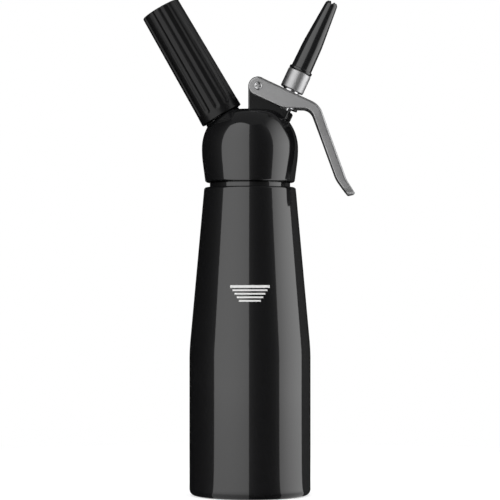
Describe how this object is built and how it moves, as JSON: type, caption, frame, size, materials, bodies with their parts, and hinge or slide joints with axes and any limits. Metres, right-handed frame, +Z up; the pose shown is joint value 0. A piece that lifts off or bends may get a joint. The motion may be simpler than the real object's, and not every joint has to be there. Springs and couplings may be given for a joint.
{
  "type": "whipped cream dispenser",
  "caption": "Bottle with a screwed-on domed head, a leaning fluted charger holder, a lever valve with a curved handle and a tapered nozzle.",
  "frame": {"origin": "on the bottle's axis, in the plane that its foot stands on", "axes": "+Z up along the bottle, +X towards the lever's handle, +Y away from the picture's camera"},
  "size_m": [0.1325, 0.076, 0.3111],
  "materials": {
    "black_lacquer": "glossy black lacquer",
    "matte_plastic": "moulded, half matt",
    "gloss_plastic": "polished moulding",
    "satin_metal": "satin casting",
    "turned_steel": "fine turned",
    "bright_steel": "polished",
    "charger_steel": "drawn and plated",
    "brass": "turned",
    "clear_silicone": "milky silicone",
    "black_rubber": "moulded rubber"
  },
  "bodies": {
    "bottle": {"bottle": "black_lacquer"},
    "gasket": {"head_gasket": "clear_silicone"},
    "head": {"head": "black_lacquer", "pivot_barrel": "bright_steel", "pivot_screw": "bright_steel", "charger_seal": "black_rubber", "piercing_valve_body": "brass", "piercing_needle": "bright_steel", "check_valve_sleeve": "clear_silicone", "valve_spring": "bright_steel", "valve_retainer": "brass"},
    "charger": {"gas_charger": "charger_steel", "charger_cap": "charger_steel"},
    "holder": {"charger_holder": "matte_plastic"},
    "lever": {"lever": "satin_metal"},
    "stem": {"valve_stem": "bright_steel", "stem_ring_upper": "black_rubber", "stem_ring_lower": "black_rubber", "valve_seal": "clear_silicone", "nozzle_adapter": "turned_steel"},
    "nozzle_ring": {"nozzle_seal_ring": "black_rubber"},
    "nozzle": {"nozzle": "gloss_plastic"}
  },
  "joints": [
    {"name": "head_lift", "type": "slide", "parent": "bottle", "child": "gasket", "axis": [0, 0, 1], "range_m": [0, 0.009]},
    {"name": "head_turn", "type": "hinge", "parent": "gasket", "child": "head", "pos_m": [0, 0, 0.2143], "axis": [0, 0, 1], "range_deg": [0, 1080]},
    {"name": "holder_lift", "type": "slide", "parent": "head", "child": "charger", "axis": [-0.5, 0, 0.866], "range_m": [0, 0.006]},
    {"name": "holder_turn", "type": "hinge", "parent": "charger", "child": "holder", "pos_m": [-0.0177, 0, 0.2383], "axis": [-0.5, 0, 0.866], "range_deg": [0, 1080]},
    {"name": "lever_pivot", "type": "hinge", "parent": "head", "child": "lever", "pos_m": [0.0049, 0, 0.2561], "axis": [0, 1, 0], "range_deg": [0, 5]},
    {"name": "valve_slide", "type": "slide", "parent": "head", "child": "stem", "axis": [-0.4226, 0, -0.9063], "range_m": [0, 0.00174], "stiffness_N_per_m": 2500, "springref_m": -0.004, "deforming": ["valve_spring"]},
    {"name": "nozzle_lift", "type": "slide", "parent": "stem", "child": "nozzle_ring", "axis": [0.4226, 0, 0.9063], "range_m": [0, 0.00375]},
    {"name": "nozzle_turn", "type": "hinge", "parent": "nozzle_ring", "child": "nozzle", "pos_m": [0.0261, 0, 0.2543], "axis": [0.4226, 0, 0.9063], "range_deg": [0, 900]}
  ],
  "couplings": [
    {"joint": "head_lift", "follows": "head_turn", "m_per_rad": 0.00047746},
    {"joint": "holder_lift", "follows": "holder_turn", "m_per_rad": 0.0003183},
    {"joint": "lever_pivot", "follows": "valve_slide", "rad_per_m": 50.075},
    {"joint": "nozzle_turn", "follows": "nozzle_lift", "rad_per_m": 4188.8}
  ]
}
